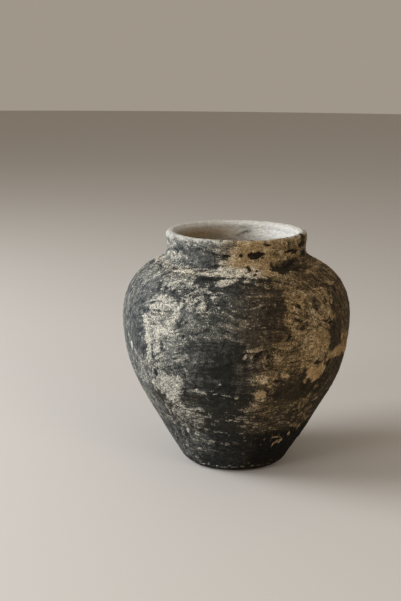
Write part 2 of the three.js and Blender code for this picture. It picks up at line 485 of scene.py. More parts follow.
# -- the side away from the first view: patches of the same kinds
zone(92, 10, 268, 61, -1.5, 0.06, 2.0, warp=0.4)
zone(90, 62, 270, 100, -1.05, 0.16, 6, warp=2.0)
zone(90, 150, 132, 238, -0.62, 0.42, 9, warp=2.2)
zone(98, 178, 127, 224, 0.28, 0.70, 6, lean=0.12, warp=1.6)
zone(112, 104, 150, 146, -0.60, 0.34, 9, warp=2.2)
zone(118, 112, 134, 132, 0.42, 0.60, 5, lean=-0.2, warp=1.6)
zone(134, 184, 176, 236, -0.80, 0.42, 8, warp=2.0)
zone(148, 198, 168, 226, 0.10, 0.66, 6, lean=-0.15, warp=1.8)
zone(168, 118, 212, 184, -1.15, 0.22, 9, warp=2.4)
zone(178, 150, 197, 176, -0.18, 0.55, 7, lean=0.22, warp=1.8)
zone(206, 178, 246, 238, -0.45, 0.50, 8, warp=2.2)
zone(212, 190, 233, 222, 0.48, 0.80, 6, lean=-0.12, warp=1.6)
zone(226, 100, 264, 150, -0.55, 0.48, 9, warp=2.2)
zone(236, 112, 252, 135, 0.52, 0.70, 5, lean=0.2, warp=1.6)
zone(248, 150, 272, 212, -0.66, 0.50, 8)
zone(86, 236, 272, 251, -0.30, 0.30, 5, warp=1.6)
zone(92, 256, 152, 286, 0.30, 0.50, 4, warp=1.4)
zone(152, 255, 206, 286, -0.60, 0.34, 4, warp=1.4)
zone(206, 256, 268, 286, 0.22, 0.58, 4, warp=1.4)

laid = coat.copy()
paint(coat, [
    # neck: chips through the ochre coat
    (17, 273.9, 8.6, 4.2, 6, -4.2, 0.3), (12.4, 271.2, 3.8, 2.6, 0, -3.4, 0.4), (4.4, 273.2, 2.0, 2.8, 30, -2.4, 0.45),
    (-7, 272.6, 4.2, 1.8, -8, -2.6, 0.45), (21.6, 268.8, 1.7, 1.2, 0, -2.4, 0.5), (32, 272.6, 8.5, 1.3, -3, -0.9, 0.7),
    (51, 273.6, 11, 1.9, -2, -3.0, 0.4), (54, 270.2, 6, 1.3, 4, -2.4, 0.5), (46, 259.5, 15, 1.5, 12, -2.4, 0.5),
    (49, 255.5, 9, 2.8, 8, -2.2, 0.5), (66, 278.5, 10, 3.6, 0, -2.6, 0.5), (72, 267, 11, 4.0, 0, -2.0, 0.5),
    (24, 285.5, 5, 1.3, -8, -2.2, 0.5), (47, 283, 1.6, 3.2, 0, -1.6, 0.6), (68, 286, 6, 4, 0, -1.6, 0.6),
    # the ridge and the smear under it
    (-4.5, 247, 10.5, 5.0, 16, 2.3, 0.5), (-17.5, 248.4, 9.5, 1.9, -2, -2.9, 0.4), (-14.5, 260.8, 11, 1.7, 5, -2.4, 0.5),
    (-30.5, 257.8, 2.8, 0.9, 0, -2.6, 0.5), (-24, 256.2, 7, 0.8, -4, -1.8, 0.5),
    (9.4, 258.2, 2.6, 3.8, 8, -3.6, 0.4), (7.6, 255.4, 2.8, 1.2, 0, -2.8, 0.4), (12.2, 253.4, 2.6, 1.3, 20, -3.0, 0.4), (15, 256, 1.6, 1.0, 0, -2.2, 0.5),
    (-65, 252.2, 15, 1.0, -2, -2.4, 0.5), (-47, 253.6, 6, 0.8, -3, -2.4, 0.5), (-57, 248.4, 10, 1.3, 0, -1.2, 0.6),
    (-60, 271.8, 16, 1.0, 3, -1.5, 0.6), (-74, 268, 10, 1.2, 0, -1.6, 0.6),
    # grains on the left shoulder
    (-36.6, 235.4, 3.4, 1.9, 12, 2.0, 0.5), (-28.4, 223.4, 2.0, 1.7, 0, 2.2, 0.5), (-26.5, 231.5, 2.6, 1.2, 0, 1.7, 0.5),
    (-22.8, 234.4, 2.8, 1.2, 20, 2.0, 0.5), (-8.2, 236.6, 3.6, 1.8, -25, 2.4, 0.5), (-8.2, 220.8, 1.4, 1.0, 0, 1.9, 0.5),
    (-15, 236.5, 2.4, 2.0, 40, 1.7, 0.5), (-12, 231.8, 4.2, 1.4, 14, 1.8, 0.5), (-20.6, 228, 1.6, 2.2, 20, 1.6, 0.5),
    (-28.5, 243, 4.6, 1.3, -4, 1.6, 0.5), (-35.6, 243.6, 3.2, 1.5, 10, 1.6, 0.5), (-40, 241, 2.4, 4.4, -30, 1.4, 0.5),
    (-44.5, 239.5, 2.2, 4.4, -30, 1.3, 0.5), (-17.2, 220, 7.0, 5.6, 30, 1.9, 0.4), (-22.6, 222, 4.0, 6.0, -20, 1.0, 0.5),
    (-13.5, 216, 6, 2.4, 36, 1.0, 0.5), (-33, 212, 5.2, 3.4, -10, -0.8, 0.6), (-46, 218.6, 11, 1.3, 14, -1.9, 0.5),
    (-45, 206.5, 8, 1.0, -20, -0.9, 0.6), (-53.5, 222, 2.6, 11, 6, -1.3, 0.5), (-31.5, 225.5, 6, 2.4, 0, -1.2, 0.6),
    (-24.5, 210, 5, 6, 0, -0.8, 0.6), (-58, 205, 10, 3, 10, -0.8, 0.6), (-47.5, 190, 4.4, 6, 0, 0.7, 0.6),
    # upright streaks on the left belly
    (-46.9, 170, 4.2, 22, 3, 1.05, 0.4), (-41.2, 172, 4.6, 20, -3, 0.75, 0.5), (-44.4, 160, 1.2, 10, 0, -1.9, 0.5),
    (-37, 192, 12, 6, 30, 0.8, 0.5), (-63.4, 160, 4.8, 5.2, 40, 2.9, 0.35), (-66, 168, 3, 5, 30, 1.0, 0.6),
    (-52, 150, 8, 2.4, 0, -0.8, 0.6), (-34, 157, 4, 4, 0, -1.0, 0.6), (-44.6, 135.5, 2.6, 4.4, 30, -2.4, 0.5),
    (-37.8, 141.6, 3.4, 1.8, 0, -1.8, 0.5), (-24.6, 142.5, 2.4, 6.5, -6, 1.3, 0.5), (-47.5, 127, 6, 2, 40, -1.0, 0.6),
    # the lower left
    (-17, 119.5, 6, 2.2, -14, 1.8, 0.5), (-20.4, 122.5, 1.4, 3.4, -20, 1.5, 0.5), (-14.5, 127, 8, 1.5, -30, 0.8, 0.6),
    (-33, 97.5, 9, 1.7, -24, 1.5, 0.5), (-27, 95, 8, 1.4, -6, 1.4, 0.5), (-20.4, 96.5, 4.4, 2.6, 24, 1.8, 0.5),
    (-29, 91.5, 5, 1.2, 20, 1.2, 0.5), (-42, 97.5, 8, 1.7, 14, 1.3, 0.5), (-45.5, 88, 1.7, 9, 4, 1.4, 0.5), (-41.5, 84, 1.4, 6, -14, 1.2, 0.6),
    (-34.6, 60, 1.7, 5.4, -24, 2.2, 0.5), (-37, 65.6, 3.6, 1.1, 12, 1.7, 0.5), (-24.5, 65.5, 2.6, 1.3, 0, 2.1, 0.5),
    (-27.5, 55.3, 4.2, 1.0, 8, 1.8, 0.5), (-22.5, 47, 3.0, 1.2, 0, 1.6, 0.5), (-34, 49, 2.2, 1.2, 20, 1.5, 0.5),
    (-48, 72.5, 4.5, 1.2, 10, 1.6, 0.5), (-46.5, 65, 4.2, 1.2, 14, 1.5, 0.5), (-39.5, 72.5, 2.2, 1.3, 20, 1.6, 0.5),
    (-43.5, 33.5, 3.6, 2.0, 24, 1.7, 0.6), (-36, 17.5, 2.6, 1.8, 0, 1.6, 0.6), (-24, 40, 5, 3.4, 0, 0.5, 0.7),
    (-5, 43, 1.8, 4.2, -20, 1.0, 0.6), (-0.5, 46.5, 1.5, 1.4, 0, 1.5, 0.5), (-3.5, 58, 1.2, 3.4, 0, 1.1, 0.6),
    (-31, 83, 2.4, 1.7, 30, 1.4, 0.6), (-46, 79.5, 2.0, 1.8, 0, 1.4, 0.5), (-30, 73, 2.0, 1.4, 30, 1.4, 0.5),
    # single marks on the dark middle
    (4.2, 168, 1.7, 4.8, -22, 3.2, 0.4), (7.6, 166.6, 1.5, 3.0, -14, 2.4, 0.5), (8.6, 174.6, 8, 1.3, -4, 2.3, 0.5),
    (12.6, 160.4, 2.2, 1.4, 0, 2.0, 0.5), (13.4, 166, 1.3, 2.0, 0, 1.6, 0.5), (16.6, 164.4, 1.5, 1.3, 0, 1.6, 0.5), (18.4, 168.6, 3.2, 1.2, 0, 1.4, 0.5),
    (10.2, 169.5, 3.6, 4.6, 0, -2.6, 0.4), (14.4, 166.6, 3.0, 3.0, 0, -2.2, 0.4), (17.6, 165.6, 2.6, 2.0, 0, -1.8, 0.5), (9.6, 163, 2.6, 1.6, 0, -1.6, 0.5),
    (-8.2, 133, 2.2, 1.1, 0, 2.9, 0.5), (-10.5, 119.5, 3.0, 1.2, 30, 2.0, 0.5), (-4.6, 117.5, 9, 1.2, -3, 1.5, 0.6), (-7, 114, 5, 1.0, 0, 1.2, 0.6),
    (-2, 160.5, 1.4, 1.3, 0, 2.2, 0.5), (-3.4, 158, 1.2, 1.0, 0, 1.8, 0.5), (0.6, 115.5, 1.6, 2.2, 0, 2.3, 0.5), (1.6, 107, 3.4, 0.8, 0, 1.4, 0.6), (-2.6, 83.5, 1.8, 0.9, 0, 3.0, 0.5),
    # the cluster right of the middle
    (24.6, 141.6, 4.4, 2.2, 6, 2.6, 0.45), (26.6, 138.8, 1.3, 2.2, 0, 1.8, 0.5), (14, 136.5, 4.4, 4.2, 30, 1.7, 0.5), (18.8, 137.5, 3.8, 3.0, 30, 1.5, 0.5),
    (17.4, 129, 3.2, 2.6, 0, 1.7, 0.5), (11.8, 119.5, 7.0, 6.2, 0, 2.6, 0.35), (11.2, 104, 2.6, 2.0, 0, 1.7, 0.5), (22, 131.5, 4, 1.2, 30, 1.1, 0.6),
    (9.5, 138, 7, 1.0, 0, 1.6, 0.6), (7.5, 133.4, 6, 1.0, -4, 1.3, 0.6), (22, 105.8, 1.7, 1.3, 0, 2.4, 0.5), (18.8, 120.5, 1.0, 2.2, -24, 1.7, 0.5),
    (12.8, 73.5, 2.8, 1.4, 0, 2.1, 0.5), (19.5, 65, 2.2, 1.2, 0, 1.6, 0.5), (26, 109, 1.4, 2.6, -20, 1.2, 0.6),
    # dark chips in the ochre side
    (44.6, 147.5, 4.2, 5.4, 14, -1.9, 0.5), (42.4, 151, 2.6, 1.8, 0, -1.6, 0.5), (42.2, 224, 5.6, 7.6, 10, -1.5, 0.6), (44, 217, 6, 3.0, 0, -1.3, 0.6),
    (31.6, 220.5, 4.4, 2.0, -10, -2.0, 0.5), (37.5, 218, 2.4, 4.0, 30, -1.4, 0.6), (43.6, 213.5, 2.8, 1.6, 0, -1.6, 0.5), (49, 199.6, 9, 1.0, 3, -2.4, 0.5),
    (52, 195.6, 8, 1.0, -3, -2.2, 0.5), (43, 195.4, 4, 1.2, 0, -1.6, 0.5), (54, 189, 5, 1.0, 0, -1.4, 0.5), (25.4, 186.5, 1.6, 4.8, 0, -2.8, 0.45), (27.2, 184.5, 2.2, 1.6, 0, -1.8, 0.5),
    (40, 160.6, 2.0, 1.2, 0, -2.0, 0.5), (30.6, 158, 1.6, 1.1, 0, -1.8, 0.5), (24.5, 159.8, 1.4, 0.9, 0, -1.8, 0.5), (53.5, 147.5, 4.4, 4.0, 20, -1.9, 0.5), (57, 213, 4.0, 4.0, 0, -1.8, 0.5),
    (37.4, 165, 5, 5, 0, -0.7, 0.6), (49, 156, 2.2, 4, 20, -1.2, 0.6), (50.8, 219, 3, 2, 0, -1.0, 0.6),
    (50, 234.6, 11, 1.3, -6, 1.9, 0.5), (43.5, 233.6, 3, 1.2, -10, 1.4, 0.5), (64, 236, 9, 3.4, -4, 1.6, 0.5), (52, 150.6, 6, 1.6, 0, 1.4, 0.5),
    (8.4, 226.5, 8, 1.2, 4, 0.8, 0.6), (12.8, 200.2, 4, 0.9, 0, 1.6, 0.5), (17.5, 240, 2.4, 1.3, 0, 2.0, 0.5), (13.5, 245.2, 4.2, 1.2, 4, 1.8, 0.5), (5.4, 246.8, 2.4, 0.9, 0, 1.7, 0.5),
    (18, 190, 11, 1.1, 0, -1.4, 0.5), (1, 195, 4, 1.1, 0, -1.6, 0.5), (12, 182, 10, 2.0, 0, -0.8, 0.6),
    # the lower right
    (48, 118, 3.6, 2.6, 30, 1.6, 0.5), (44.4, 108, 2.8, 2.4, 10, 1.0, 0.5), (40, 104, 2.4, 2.4, 0, 0.9, 0.5), (39.4, 96, 1.6, 3.6, 20, 1.2, 0.5), (54.5, 98.5, 3, 1.6, 20, 1.4, 0.5),
    (44.2, 52, 1.6, 6.0, 26, 3.0, 0.5), (51.5, 58, 3.4, 6.5, 24, 2.4, 0.5), (56, 68, 6, 2.6, 34, 1.4, 0.6), (41, 66, 3, 1.8, 0, 1.6, 0.6), (45.5, 77, 5, 1.5, 30, 1.4, 0.6),
    (39, 79, 3, 1.3, 0, 1.4, 0.6), (54, 84, 5, 1.6, 30, 1.4, 0.6), (32.4, 41.5, 1.9, 6.4, -18, 3.4, 0.4), (30.8, 52.4, 7.0, 1.5, 4, 3.0, 0.5), (37.2, 44.5, 1.5, 5.4, 16, 3.0, 0.45), (27.4, 47.5, 1.3, 3.8, -8, 2.6, 0.5),
    (22, 52.2, 1.7, 1.6, 0, 2.4, 0.5), (35, 51.5, 1.6, 2.4, 20, 2.0, 0.5), (34.6, 46, 1.4, 2.2, 0, 1.6, 0.5), (43, 50, 1.3, 4.4, 30, 2.0, 0.5), (38, 47, 1.2, 3.6, 24, 1.8, 0.5), (49, 44, 4, 1.6, 25, 1.2, 0.6),
    (40, 36, 2.4, 1.6, -20, 1.4, 0.6), (15.5, 13.5, 2.4, 1.4, 0, 2.0, 0.5), (41, 13, 4, 1.2, -10, 1.2, 0.6), (28, 32, 1.4, 2.6, 0, 1.3, 0.6), (8, 30, 3.4, 0.9, -16, 1.4, 0.6),
    # the joint above the foot course
    (-10, 63.4, 12, 0.9, 0, 1.8, 0.6), (4.6, 62, 4.4, 0.9, 0, 1.8, 0.6), (20, 62, 6, 0.8, 0, 1.0, 0.7), (-28, 62.6, 6, 0.8, 0, 0.9, 0.7),
    # the worn edge of the foot
    (-29, 9.0, 2.4, 1.5, 0, 2.4, 0.5), (-4.5, 9.5, 2.0, 1.0, 0, 2.4, 0.5), (8, 8.4, 2.2, 0.9, 0, 2.2, 0.5), (-17, 8.0, 2.6, 1.0, 0, 2.2, 0.5),
    (-35.5, 7.5, 3.4, 1.4, 0, 1.9, 0.5), (19, 8.6, 3.4, 0.9, 0, 1.9, 0.5), (29, 8.0, 3.6, 0.9, 0, 1.8, 0.5), (-11, 7.0, 5.0, 0.8, 0, 1.6, 0.6), (1, 7.2, 4.4, 0.8, 0, 1.6, 0.6), (-23, 7.4, 4, 0.8, 0, 1.7, 0.6), (38, 7.8, 4, 0.9, 0, 1.4, 0.6),
])

# -- the side away from the first view: the same coat, laid on and worn in the same way
g = np.random.default_rng(77)
for _ in range(22):
    paint(coat, [(g.uniform(84, 276), g.uniform(95, 240), g.uniform(8, 22), g.uniform(5, 14), g.uniform(-40, 40), g.uniform(-0.5, 0.8), 0.7)], warp=1.6)
for _ in range(18):
    paint(haze, [(g.uniform(80, 280), g.uniform(100, 250), g.uniform(24, 46), g.uniform(18, 34), 0, g.uniform(-0.1, 0.16), 0.7)])
for _ in range(46):
    paint(coat, [(g.uniform(82, 278), g.uniform(100, 236), g.uniform(2, 6), g.uniform(2, 9), g.uniform(-30, 30), g.uniform(-2.4, -1.2), 0.5)])
for _ in range(70):
    paint(coat, [(g.uniform(80, 280), g.uniform(12, 112), g.uniform(0.9, 3.6), g.uniform(0.7, 1.9), g.uniform(-30, 30), g.uniform(1.2, 2.6), 0.5)])
stroke(coat, [(52, 249), (80, 252), (110, 250.5), (140, 253), (170, 251), (200, 252.6), (230, 251), (258, 253), (278, 253)], 3.0, 0.55, 0.55)
paint(coat, [(g.uniform(84, 276), g.uniform(262, 282), g.uniform(6, 16), g.uniform(3, 7), 0, g.uniform(-0.5, 0.9), 0.6) for _ in range(13)])
paint(coat, [(g.uniform(82, 278), g.uniform(254, 281), g.uniform(2, 9), g.uniform(1.2, 3), g.uniform(-14, 14), g.uniform(-2.4, -1.4), 0.5) for _ in range(22)])

# a chip takes the film off with the coat
chip = np.clip((laid - coat - 0.9) / 1.1, 0, 1).astype(F)
haze *= 1 - 0.94 * chip

# -- lip and inside: a pale wash over the top and down the throat, thinner and browner below, partly staining and partly painted shade deeper in the throat and on the inside of the left wall
IN = (S > S_CROWN)[:, None]
ochre_lip = smooth(-12, 4, TH180) * smooth(78, 60, TH180)
lip = smooth(284.6, 289.2, height + 0.35 * WV + (1.6 * smooth(-40, -75, TH180) - 2.4 * ochre_lip)[None, :] * (1 - IN)) * np.ones_like(PX)
depth = np.clip((HEIGHT - height) / 100.0, 0, 3) * IN
# less coat on the lip's front: partly a thinner wash, partly painted shade on the front of the lip
coat += lip * (2.0 - 1.0 * smooth(62, 18, front) - 0.3 * ochre_lip[None, :] * (1 - IN))
coat = np.where((lip > 0.02) & ~IN & (TH180 < -5), np.minimum(coat, 0.62), coat)
coat = np.where((height > 286.9) & IN, np.maximum(coat, 1.1), coat).astype(F)
haze += lip * 0.35
# painted shade inside, with some real staining: less film and less coat deeper down the throat and towards the inner
# left wall, which faces away from the window light
haze = np.where(IN, 0.55 - 0.22 * np.minimum(depth, 1.6), haze).astype(F)
rightward = smooth(-0.66, 0.70, PX / 75.0)
coat = np.where(IN & (height < 287), 1.25 - 0.35 * (1 - rightward) * smooth(0.03, 0.2, depth) - 1.9 * smooth(0.3, 1.6, depth), coat).astype(F)
# a dark mark near the back of the throat; less coat on the inner left wall and more on the inner right, partly painted
# shade on the left and painted light on the right
paint(coat, [
    (169, 275, 3.0, 0.9, 4, -1.6, 0.6), (250, 256, 24, 12, 0, -0.3, 0.7), (120, 262, 20, 14, 0, 0.5, 0.7),
], where=s_in)

# -- general loss: fine break-up of every coat edge, with the strokes of the rag in it
brushed = np.full((NS, NT), 1.0, F)
paint(brushed, [(4, 215, 50, 30, 0, 0.5, 0.6), (46, 190, 40, 60, 0, 0.4, 0.6), (-45, 200, 40, 40, 0, 0.4, 0.6), (-44, 165, 20, 30, 0, 0.5, 0.6)])
loss = 0.12 * mottle + 0.15 * mottle2 + (0.20 * streak + 0.09 * streak_long) * brushed + 0.16 * grain
calm = np.ones_like(coat)
calm -= 0.50 * smooth(252, 262, height) * smooth(-10, 2, TH180[None, :]) * smooth(75, 55, TH180[None, :])
calm = np.where(IN | (height > 283), 0.42, calm).astype(F)
calm = paint(calm, [(43, 138, 17, 12, 0, -0.45, 0.5), (12.8, 119, 8, 7, 0, -0.4, 0.5), (62, 156, 26, 9, 0, -0.35, 0.5)])
cover = (coat + loss * calm).astype(F)
# the dark middle stays clean
clean = paint(np.zeros_like(coat), [(-9, 152, 26, 30, 0, 1.0, 0.45), (-8, 98, 20, 13, 0, 0.9, 0.5), (28, 118, 20, 14, 0, 0.5, 0.5)])
cover -= 0.4 * clean * (cover < 0.0)
gritty = np.full((NS, NT), 1.0, F) * (0.6 + 0.4 * calm)
smoothed = np.maximum(IN, 0.55 * lip) * np.ones_like(PX)
gritty *= 1 - 0.80 * smoothed
paint(gritty, [(-26, 238, 44, 14, 0, 0.5, 0.5), (28, 248, 50, 8, 0, 0.45, 0.5), (-20, 256, 50, 5, 0, 0.3, 0.5), (12, 130, 20, 26, 0, 0.3, 0.5), (-32, 92, 30, 12, 0, 0.4, 0.5), (14, 166, 16, 10, 0, 0.3, 0.5)])

# -- grains and crumbs of coat on bare clay, and of bare clay in the coat
specks = np.zeros((NS, NT), F)
density = np.full((NS, NT), 0.14, F) * outside
paint(density, [
    (-28, 232, 36, 14, 0, 0.95, 0.5), (-42, 243, 28, 9, 0, 0.8, 0.5), (-44, 196, 30, 34, 0, 0.25, 0.6), (-8, 205, 24, 16, 0, 0.35, 0.6), (12, 243, 26, 6, 0, 0.7, 0.5),
    (30, 246, 34, 6, 0, 0.6, 0.5), (-34, 90, 34, 12, 0, 0.7, 0.5), (-14, 118, 22, 9, 0, 0.5, 0.5), (9, 92, 20, 18, 0, 0.8, 0.5),
    (12, 128, 16, 20, 0, 0.5, 0.5), (14, 166, 14, 10, 0, 0.5, 0.5), (44, 92, 22, 22, 0, 0.7, 0.5), (-36, 66, 30, 14, 0, 0.45, 0.5),
    (-20, 40, 34, 18, 0, 0.22, 0.5), (28, 48, 24, 10, 0, 0.25, 0.5), (50, 66, 20, 20, 0, 0.5, 0.6), (0, 12, 60, 6, 0, 0.3, 0.6),
    (-30, 82, 40, 22, 0, 0.75, 0.6), (10, 84, 30, 22, 0, 0.7, 0.6), (40, 84, 34, 24, 0, 0.7, 0.6), (0, 50, 60, 9, 0, 0.3, 0.6), (-24, 44, 40, 16, 0, 0.35, 0.6), (34, 48, 14, 9, 0, 0.5, 0.6),
    (28, 226, 26, 14, 0, 0.3, 0.6), (10, 226, 26, 12, 0, 0.5, 0.6), (-9, 152, 24, 30, 0, -0.13, 0.3), (-8, 100, 20, 12, 0, -0.12, 0.4),
])
back = smooth(84, 96, front) * outside
density += 0.40 * back * smooth(-0.4, 1.2, cloud)
density = np.maximum(density, 0.0) * outside * (1 - lip)
specks = np.clip(density * (0.65 + 0.45 * mottle + 0.25 * mottle2 + 0.2 * streak), 0, 1.6).astype(F)
holes = np.clip((0.55 + 0.45 * mottle2 + 0.3 * streak) * smooth(-0.3, 0.6, cover) * (outside | IN), 0, 1.2)
holes = (holes * (0.35 + 0.65 * calm) * (1 - 0.9 * smoothed)).astype(F)

# ------------------------------------------------------------------------------------ colours (linear)

def lin(r, g_, b):
    c = np.array([r, g_, b], float) / 255
    return np.where(c <= 0.04045, c / 12.92, ((c + 0.055) / 1.055) ** 2.4).astype(F)


warm = smooth(-14, 22, TH180[None, :] + 14 * smooth(254, 262, height))
warm = np.where(TH180[None, :] > 84, 1 - 0.75 * smooth(96, 165, TH180)[None, :], warm)
warm = np.where(TH180[None, :] < -84, 0.25 * smooth(-120, -165, TH180)[None, :], warm)
warm = np.clip(warm + 0.12 * cloud * (0.3 + 0.7 * smooth(70, 110, front)), 0, 1)
ridge = smooth(9, 3, np.abs(height - 252)) * smooth(24, -2, TH180)[None, :] * outside
warm = warm * (1 - 0.55 * ridge)

CLAY_BLUE_AND_PAINTED_COOL_LIGHT, CLAY_COOL, CLAY_WARM = lin(38, 43, 48), lin(31, 33, 31), lin(38, 33, 26)
CLAY_BROWN, CLAY_FOOT, CLAY_FOOT_WARM_PAINTED_SHADE = lin(47, 43, 34), lin(25, 28, 29), lin(15, 14, 11)
COAT_COOL, COAT_WARM, COAT_PALE = lin(193, 190, 178), lin(166, 141, 102), lin(211, 202, 182)
HAZE_COOL, HAZE_WARM = lin(137, 141, 141), lin(124, 103, 71)


def mix(a, b, t):
    return a + (b - a) * t[..., None]


# bluer clay on the left: partly the clay's own blue-black, partly painted cool light on the side facing the window
# light
leftward = smooth(-16, -48, TH180)[None, :] * smooth(-150, -95, TH180)[None, :] * np.ones_like(PX)
clay = mix(np.broadcast_to(CLAY_COOL, (NS, NT, 3)), CLAY_WARM, warm)
clay = mix(clay, CLAY_BLUE_AND_PAINTED_COOL_LIGHT, leftward)
below = smooth(116, 96, height + 2.5 * WV) * outside
clay = mix(clay, CLAY_BROWN, below * np.maximum(smooth(8, 24, front), 0.35) * (1 - 0.4 * warm))
foot = smooth(63.2, 60.8, height + 0.45 * WV) * outside
# the foot's right side is warmer and much darker: partly the clay's colour, partly painted shade away from the window
# light
clay = mix(clay, mix(np.broadcast_to(CLAY_FOOT, (NS, NT, 3)), CLAY_FOOT_WARM_PAINTED_SHADE, warm), foot)
clay = clay * (1 + 0.16 * np.clip(mottle2, -2, 2) + 0.07 * np.clip(streak_long, -2, 2))[..., None]
deep = np.maximum(chip, np.clip(-coat - 2.0, 0, 1.2) / 1.2)                      # the bottoms of the chips are the darkest
clay = clay * (1 - 0.48 * deep)[..., None]
coatc = mix(np.broadcast_to(COAT_COOL, (NS, NT, 3)), COAT_WARM, warm)
coatc = mix(coatc, COAT_PALE, np.clip(ridge * 0.85 + smooth(0.6, 2.2, mottle) * 0.35, 0, 1))
ochre = paint(np.zeros_like(coat), [(43, 136, 16, 12, 0, 0.5, 0.5), (62, 156, 26, 9, 0, 0.4, 0.5), (13, 119, 8, 7, 0, 0.2, 0.5), (70, 165, 16, 14, 0, 0.4, 0.6)])
coatc = mix(coatc, lin(174, 141, 93), np.clip(ochre, 0, 1))
coatc = coatc * (1 + 0.10 * np.clip(mottle, -2, 2) + 0.06 * np.clip(streak, -2, 2))[..., None]
inside_tone = lin(220, 218, 211)
# the inside goes from white to brown deeper down and towards the left: partly staining, partly painted shade
coatc = np.where((IN & (height < 288))[..., None], mix(np.broadcast_to(inside_tone, (NS, NT, 3)), lin(146, 124, 90), np.clip((0.1 + 0.85 * smooth(0.02, 0.14, depth)) * (1 - rightward) + 0.8 * smooth(0.25, 0.9, depth), 0, 1)), coatc)
smudge = paint(np.zeros_like(coat), [(170, 275, 8, 2.4, 6, 0.85, 0.8), (173, 280.5, 6, 1.6, 0, 0.4, 0.8), (178, 272, 6, 1.8, -8, 0.45, 0.8), (205, 270, 14, 6, 0, 0.22, 0.8)], where=s_in)
coatc = coatc * (1 - 0.8 * np.clip(smudge, 0, 1))[..., None]
# the pale wash on the lip fades towards the front: partly a thinner wash, partly painted shade on the front of the lip
coatc = mix(coatc, lin(213, 211, 203), lip * (0.85 - 0.50 * smooth(62, 18, front)))
hazec = mix(np.broadcast_to(HAZE_COOL, (NS, NT, 3)), HAZE_WARM, warm)
clay = np.where(IN[..., None], clay * 1.25, clay)
haze_here = np.clip(haze * (1 + 0.34 * mottle + 0.30 * streak + 0.16 * grain + 0.16 * streak_long), 0, 1)
base = mix(clay, hazec, haze_here * 0.50)
base = np.clip(base, 0.004, 1)
coatc = np.clip(coatc, 0.004, 1)

# ------------------------------------------------------------------------------------ relief (mm)

relief = (
    0.36 * noise(95, 2, seed=12) + 0.08 * noise(38, 2, seed=13)               # hand building
    + 0.085 * noise(20, 2, seed=14, squash=3.2)                                  # wiping rings
    + 0.05 * np.clip(streak_long, -2.5, 2.5) + 0.035 * np.clip(streak, -2.5, 2.5)
    + 0.075 * np.clip(mottle, -2.5, 2.5) + 0.07 * np.clip(grain, -2.5, 2.5)
)
here = smooth(-0.28, 0.28, cover)
relief += 0.34 * here - 0.30 * deep * (1 - here)
# the smear of clay at the neck joint, proud and uneven, and the shallow line left at the foot joint
relief += 0.75 * smooth(6.5, 0, np.abs(S[:, None] - s_out(253.2) + 1.2 * WV)) * (0.75 + 0.25 * cloud) * outside
seam = np.abs(S[:, None] - joint_out[1] + 0.35 * WV)
relief -= 0.30 * smooth(1.7, 0, seam) * outside * smooth(-0.9, 0.6, cloud + 0.4 * (front < 40))
quiet = smooth(S_FOOT, S_FOOT + 9, S)[:, None] * np.where(IN, 0.7, 1.0)
relief = relief * quiet
relief = np.where((height < FLOOR_T + 1) & IN, relief * 0.6, relief).astype(F)
relief = np.where((S < S_FOOT)[:, None], 0.0, relief)
relief[0] = relief[-1] = 0.0
relief[S > S_END - 12] *= 0.4

# the neck and the foot sit a millimetre to one side of the belly
X3 = PX + (NR[:, None] * sinT) * relief - 1.0 * (smooth(235, 262, height) + smooth(70, 20, height))
Y3 = PY - (NR[:, None] * cosT) * relief
Z3 = np.maximum(PZ + NZ[:, None] * relief, 0.0)
ALL = np.stack([X3, Y3, Z3], -1).astype(np.float64) * MM

# ------------------------------------------------------------------------------------ meshes


def ring(i):
    """The column numbers that row i uses."""
    return np.arange(NT) if LEVEL[i] == 0 else np.arange(0, NT, 2)


def connect(lo, hi, faces):
    """Faces between two rings of vertex numbers, of the same length or one twice the other."""
    n, m = len(lo), len(hi)
    if n == 1 or m == 1:
        big = hi if n == 1 else lo
        nxt = np.roll(big, -1)
        pole = np.full(len(big), (lo if n == 1 else hi)[0])
        faces.append(np.stack([pole, nxt, big] if n == 1 else [big, nxt, pole], 1))
    elif n == m:
        faces.append(np.stack([lo, np.roll(lo, -1), np.roll(hi, -1), hi], 1))
    elif n == 2 * m:
        a0, a1, a2 = lo[0::2], lo[1::2], np.roll(lo, -2)[0::2]
        b0, b1 = hi, np.roll(hi, -1)
        faces += [np.stack(f, 1) for f in ((a0, a1, b0), (a1, b1, b0), (a1, a2, b1))]
    else:
        b0, b1 = lo, np.roll(lo, -1)
        a0, a1, a2 = hi[0::2], hi[1::2], np.roll(hi, -2)[0::2]
        faces += [np.stack(f, 1) for f in ((b0, a1, a0), (b0, b1, a1), (b1, a2, a1))]


